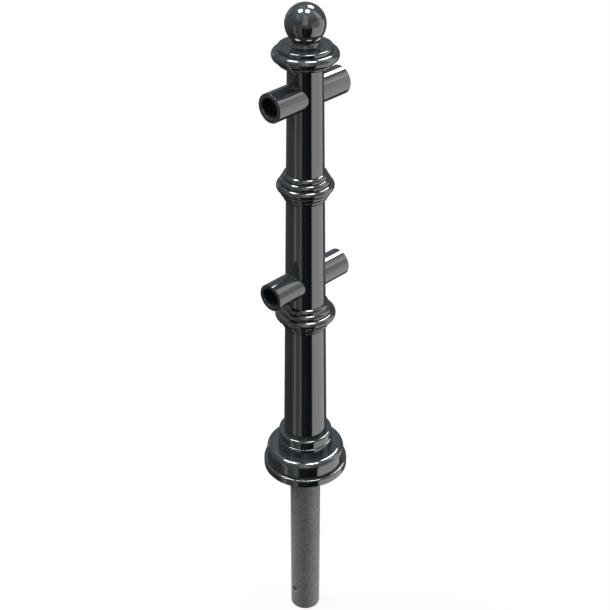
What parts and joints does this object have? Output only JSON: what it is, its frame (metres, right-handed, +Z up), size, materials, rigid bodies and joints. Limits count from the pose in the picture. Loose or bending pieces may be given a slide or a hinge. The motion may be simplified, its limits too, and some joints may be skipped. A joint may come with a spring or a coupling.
{
  "type": "railing post",
  "caption": "Ground-set cast post with a ball finial, beaded collars, a stepped base on a steel root tube, and tubular sockets on both sides for an upper and a lower rail.",
  "frame": {"origin": "on the post's axis at ground level, in the plane of the base flange's underside", "axes": "+Z up along the post, X along the rails, +Y square to the rails; the post is symmetric left to right and front to back"},
  "size_m": [0.2226, 0.206, 1.6879],
  "materials": {
    "gloss_black_casting": "gloss black paint over a smooth casting",
    "bare_steel": "bare, dull and rough, unpainted",
    "zinc_plated_steel": "zinc plated, satin",
    "black_oxide_steel": "black oxide, oiled"
  },
  "bodies": {
    "post": {"base_plinth": "gloss_black_casting", "base_ring": "gloss_black_casting", "lower_shaft": "gloss_black_casting", "lower_collar": "gloss_black_casting", "middle_shaft": "gloss_black_casting", "upper_collar": "gloss_black_casting", "upper_shaft": "gloss_black_casting", "cap": "gloss_black_casting", "ball_finial": "gloss_black_casting", "lower_left_socket": "gloss_black_casting", "lower_right_socket": "gloss_black_casting", "upper_left_socket": "gloss_black_casting", "upper_right_socket": "gloss_black_casting", "root_tube": "bare_steel", "root_top_plate": "bare_steel", "tie_rod": "zinc_plated_steel", "tie_rod_washer": "zinc_plated_steel", "tie_rod_nut": "zinc_plated_steel", "joint_dowels": "zinc_plated_steel", "socket_screws": "zinc_plated_steel", "socket_washers": "zinc_plated_steel"},
    "lower_left_set_screw": {"lower_left_set_screw": "black_oxide_steel"},
    "lower_right_set_screw": {"lower_right_set_screw": "black_oxide_steel"},
    "upper_left_set_screw": {"upper_left_set_screw": "black_oxide_steel"},
    "upper_right_set_screw": {"upper_right_set_screw": "black_oxide_steel"}
  },
  "joints": [
    {"name": "lower_left_set_screw_travel", "type": "slide", "parent": "post", "child": "lower_left_set_screw", "axis": [0, 0, 1], "range_m": [-0.006, 0.0016]},
    {"name": "lower_right_set_screw_travel", "type": "slide", "parent": "post", "child": "lower_right_set_screw", "axis": [0, 0, 1], "range_m": [-0.006, 0.0016]},
    {"name": "upper_left_set_screw_travel", "type": "slide", "parent": "post", "child": "upper_left_set_screw", "axis": [0, 0, 1], "range_m": [-0.006, 0.0016]},
    {"name": "upper_right_set_screw_travel", "type": "slide", "parent": "post", "child": "upper_right_set_screw", "axis": [0, 0, 1], "range_m": [-0.006, 0.0016]}
  ]
}
